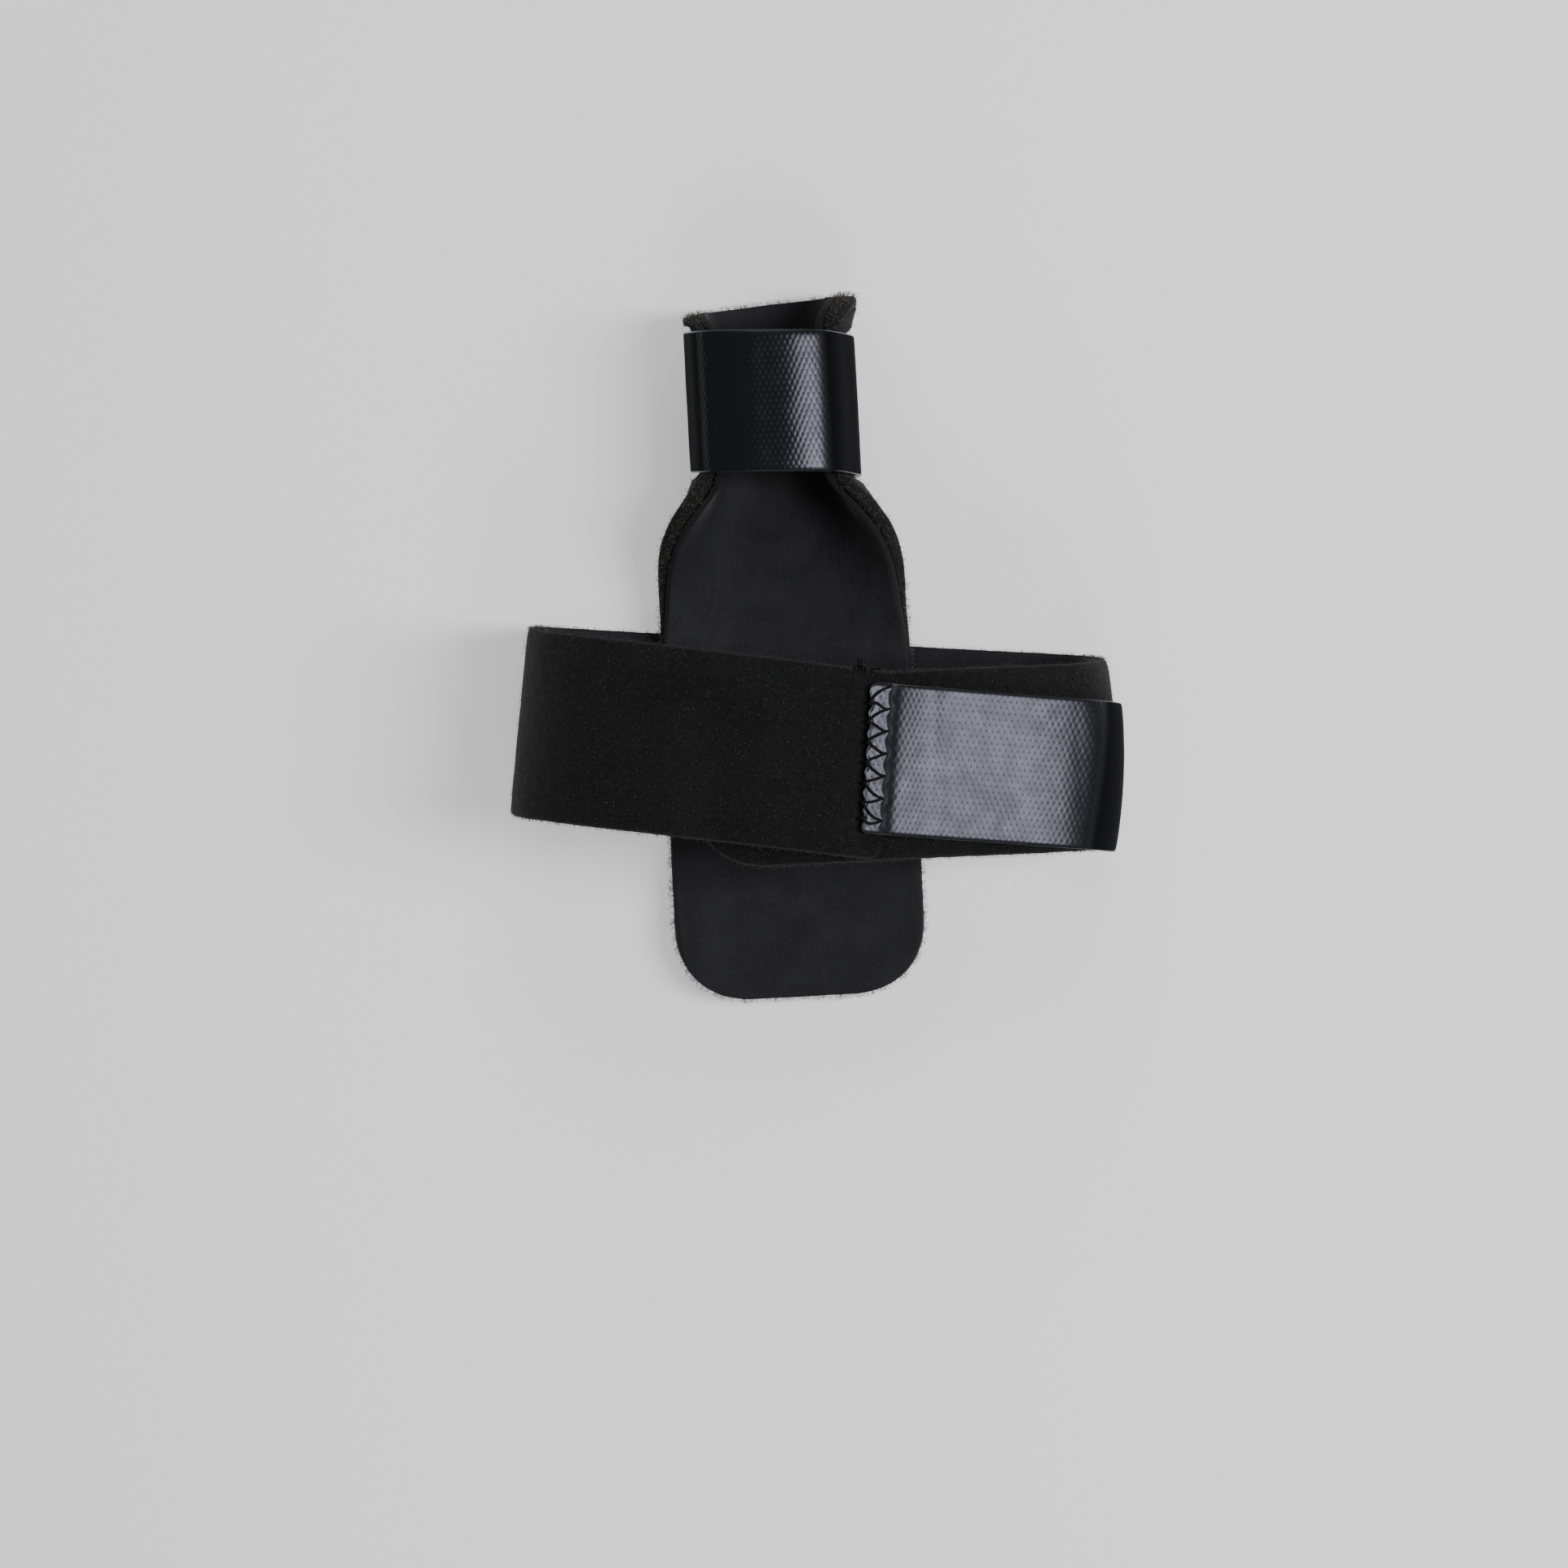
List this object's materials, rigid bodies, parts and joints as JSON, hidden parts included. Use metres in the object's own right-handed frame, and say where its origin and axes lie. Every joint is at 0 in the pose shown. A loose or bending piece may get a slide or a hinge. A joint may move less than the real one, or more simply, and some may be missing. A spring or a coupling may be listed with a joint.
{
  "type": "finger splint",
  "caption": "Padded trough for a middle finger, closed by a hook tape round the finger and a wide loop-fabric strap round the hand, fastened on the back of the hand by a glossy hook tab.",
  "frame": {"origin": "the face it rests on: underside of the palm strap where it crosses the middle of the trough", "axes": "+X across the palm towards the little finger, +Y along the trough towards the fingertip, +Z from the palm side to the back of the hand"},
  "size_m": [0.0825, 0.0942, 0.0351],
  "materials": {
    "loop_fabric": "black brushed loop fabric on thin foam, matt and slightly fuzzy",
    "lining_fabric": "black smooth knitted lining on thin foam, matt",
    "hook_tape": "black woven tape with a glossy coating, hooks on the inner side"
  },
  "bodies": {
    "root": {"outer_cover": "loop_fabric", "inner_lining": "lining_fabric", "finger_strap": "hook_tape", "palm_strap": "loop_fabric", "palm_hook_tab": "hook_tape"}
  },
  "joints": []
}
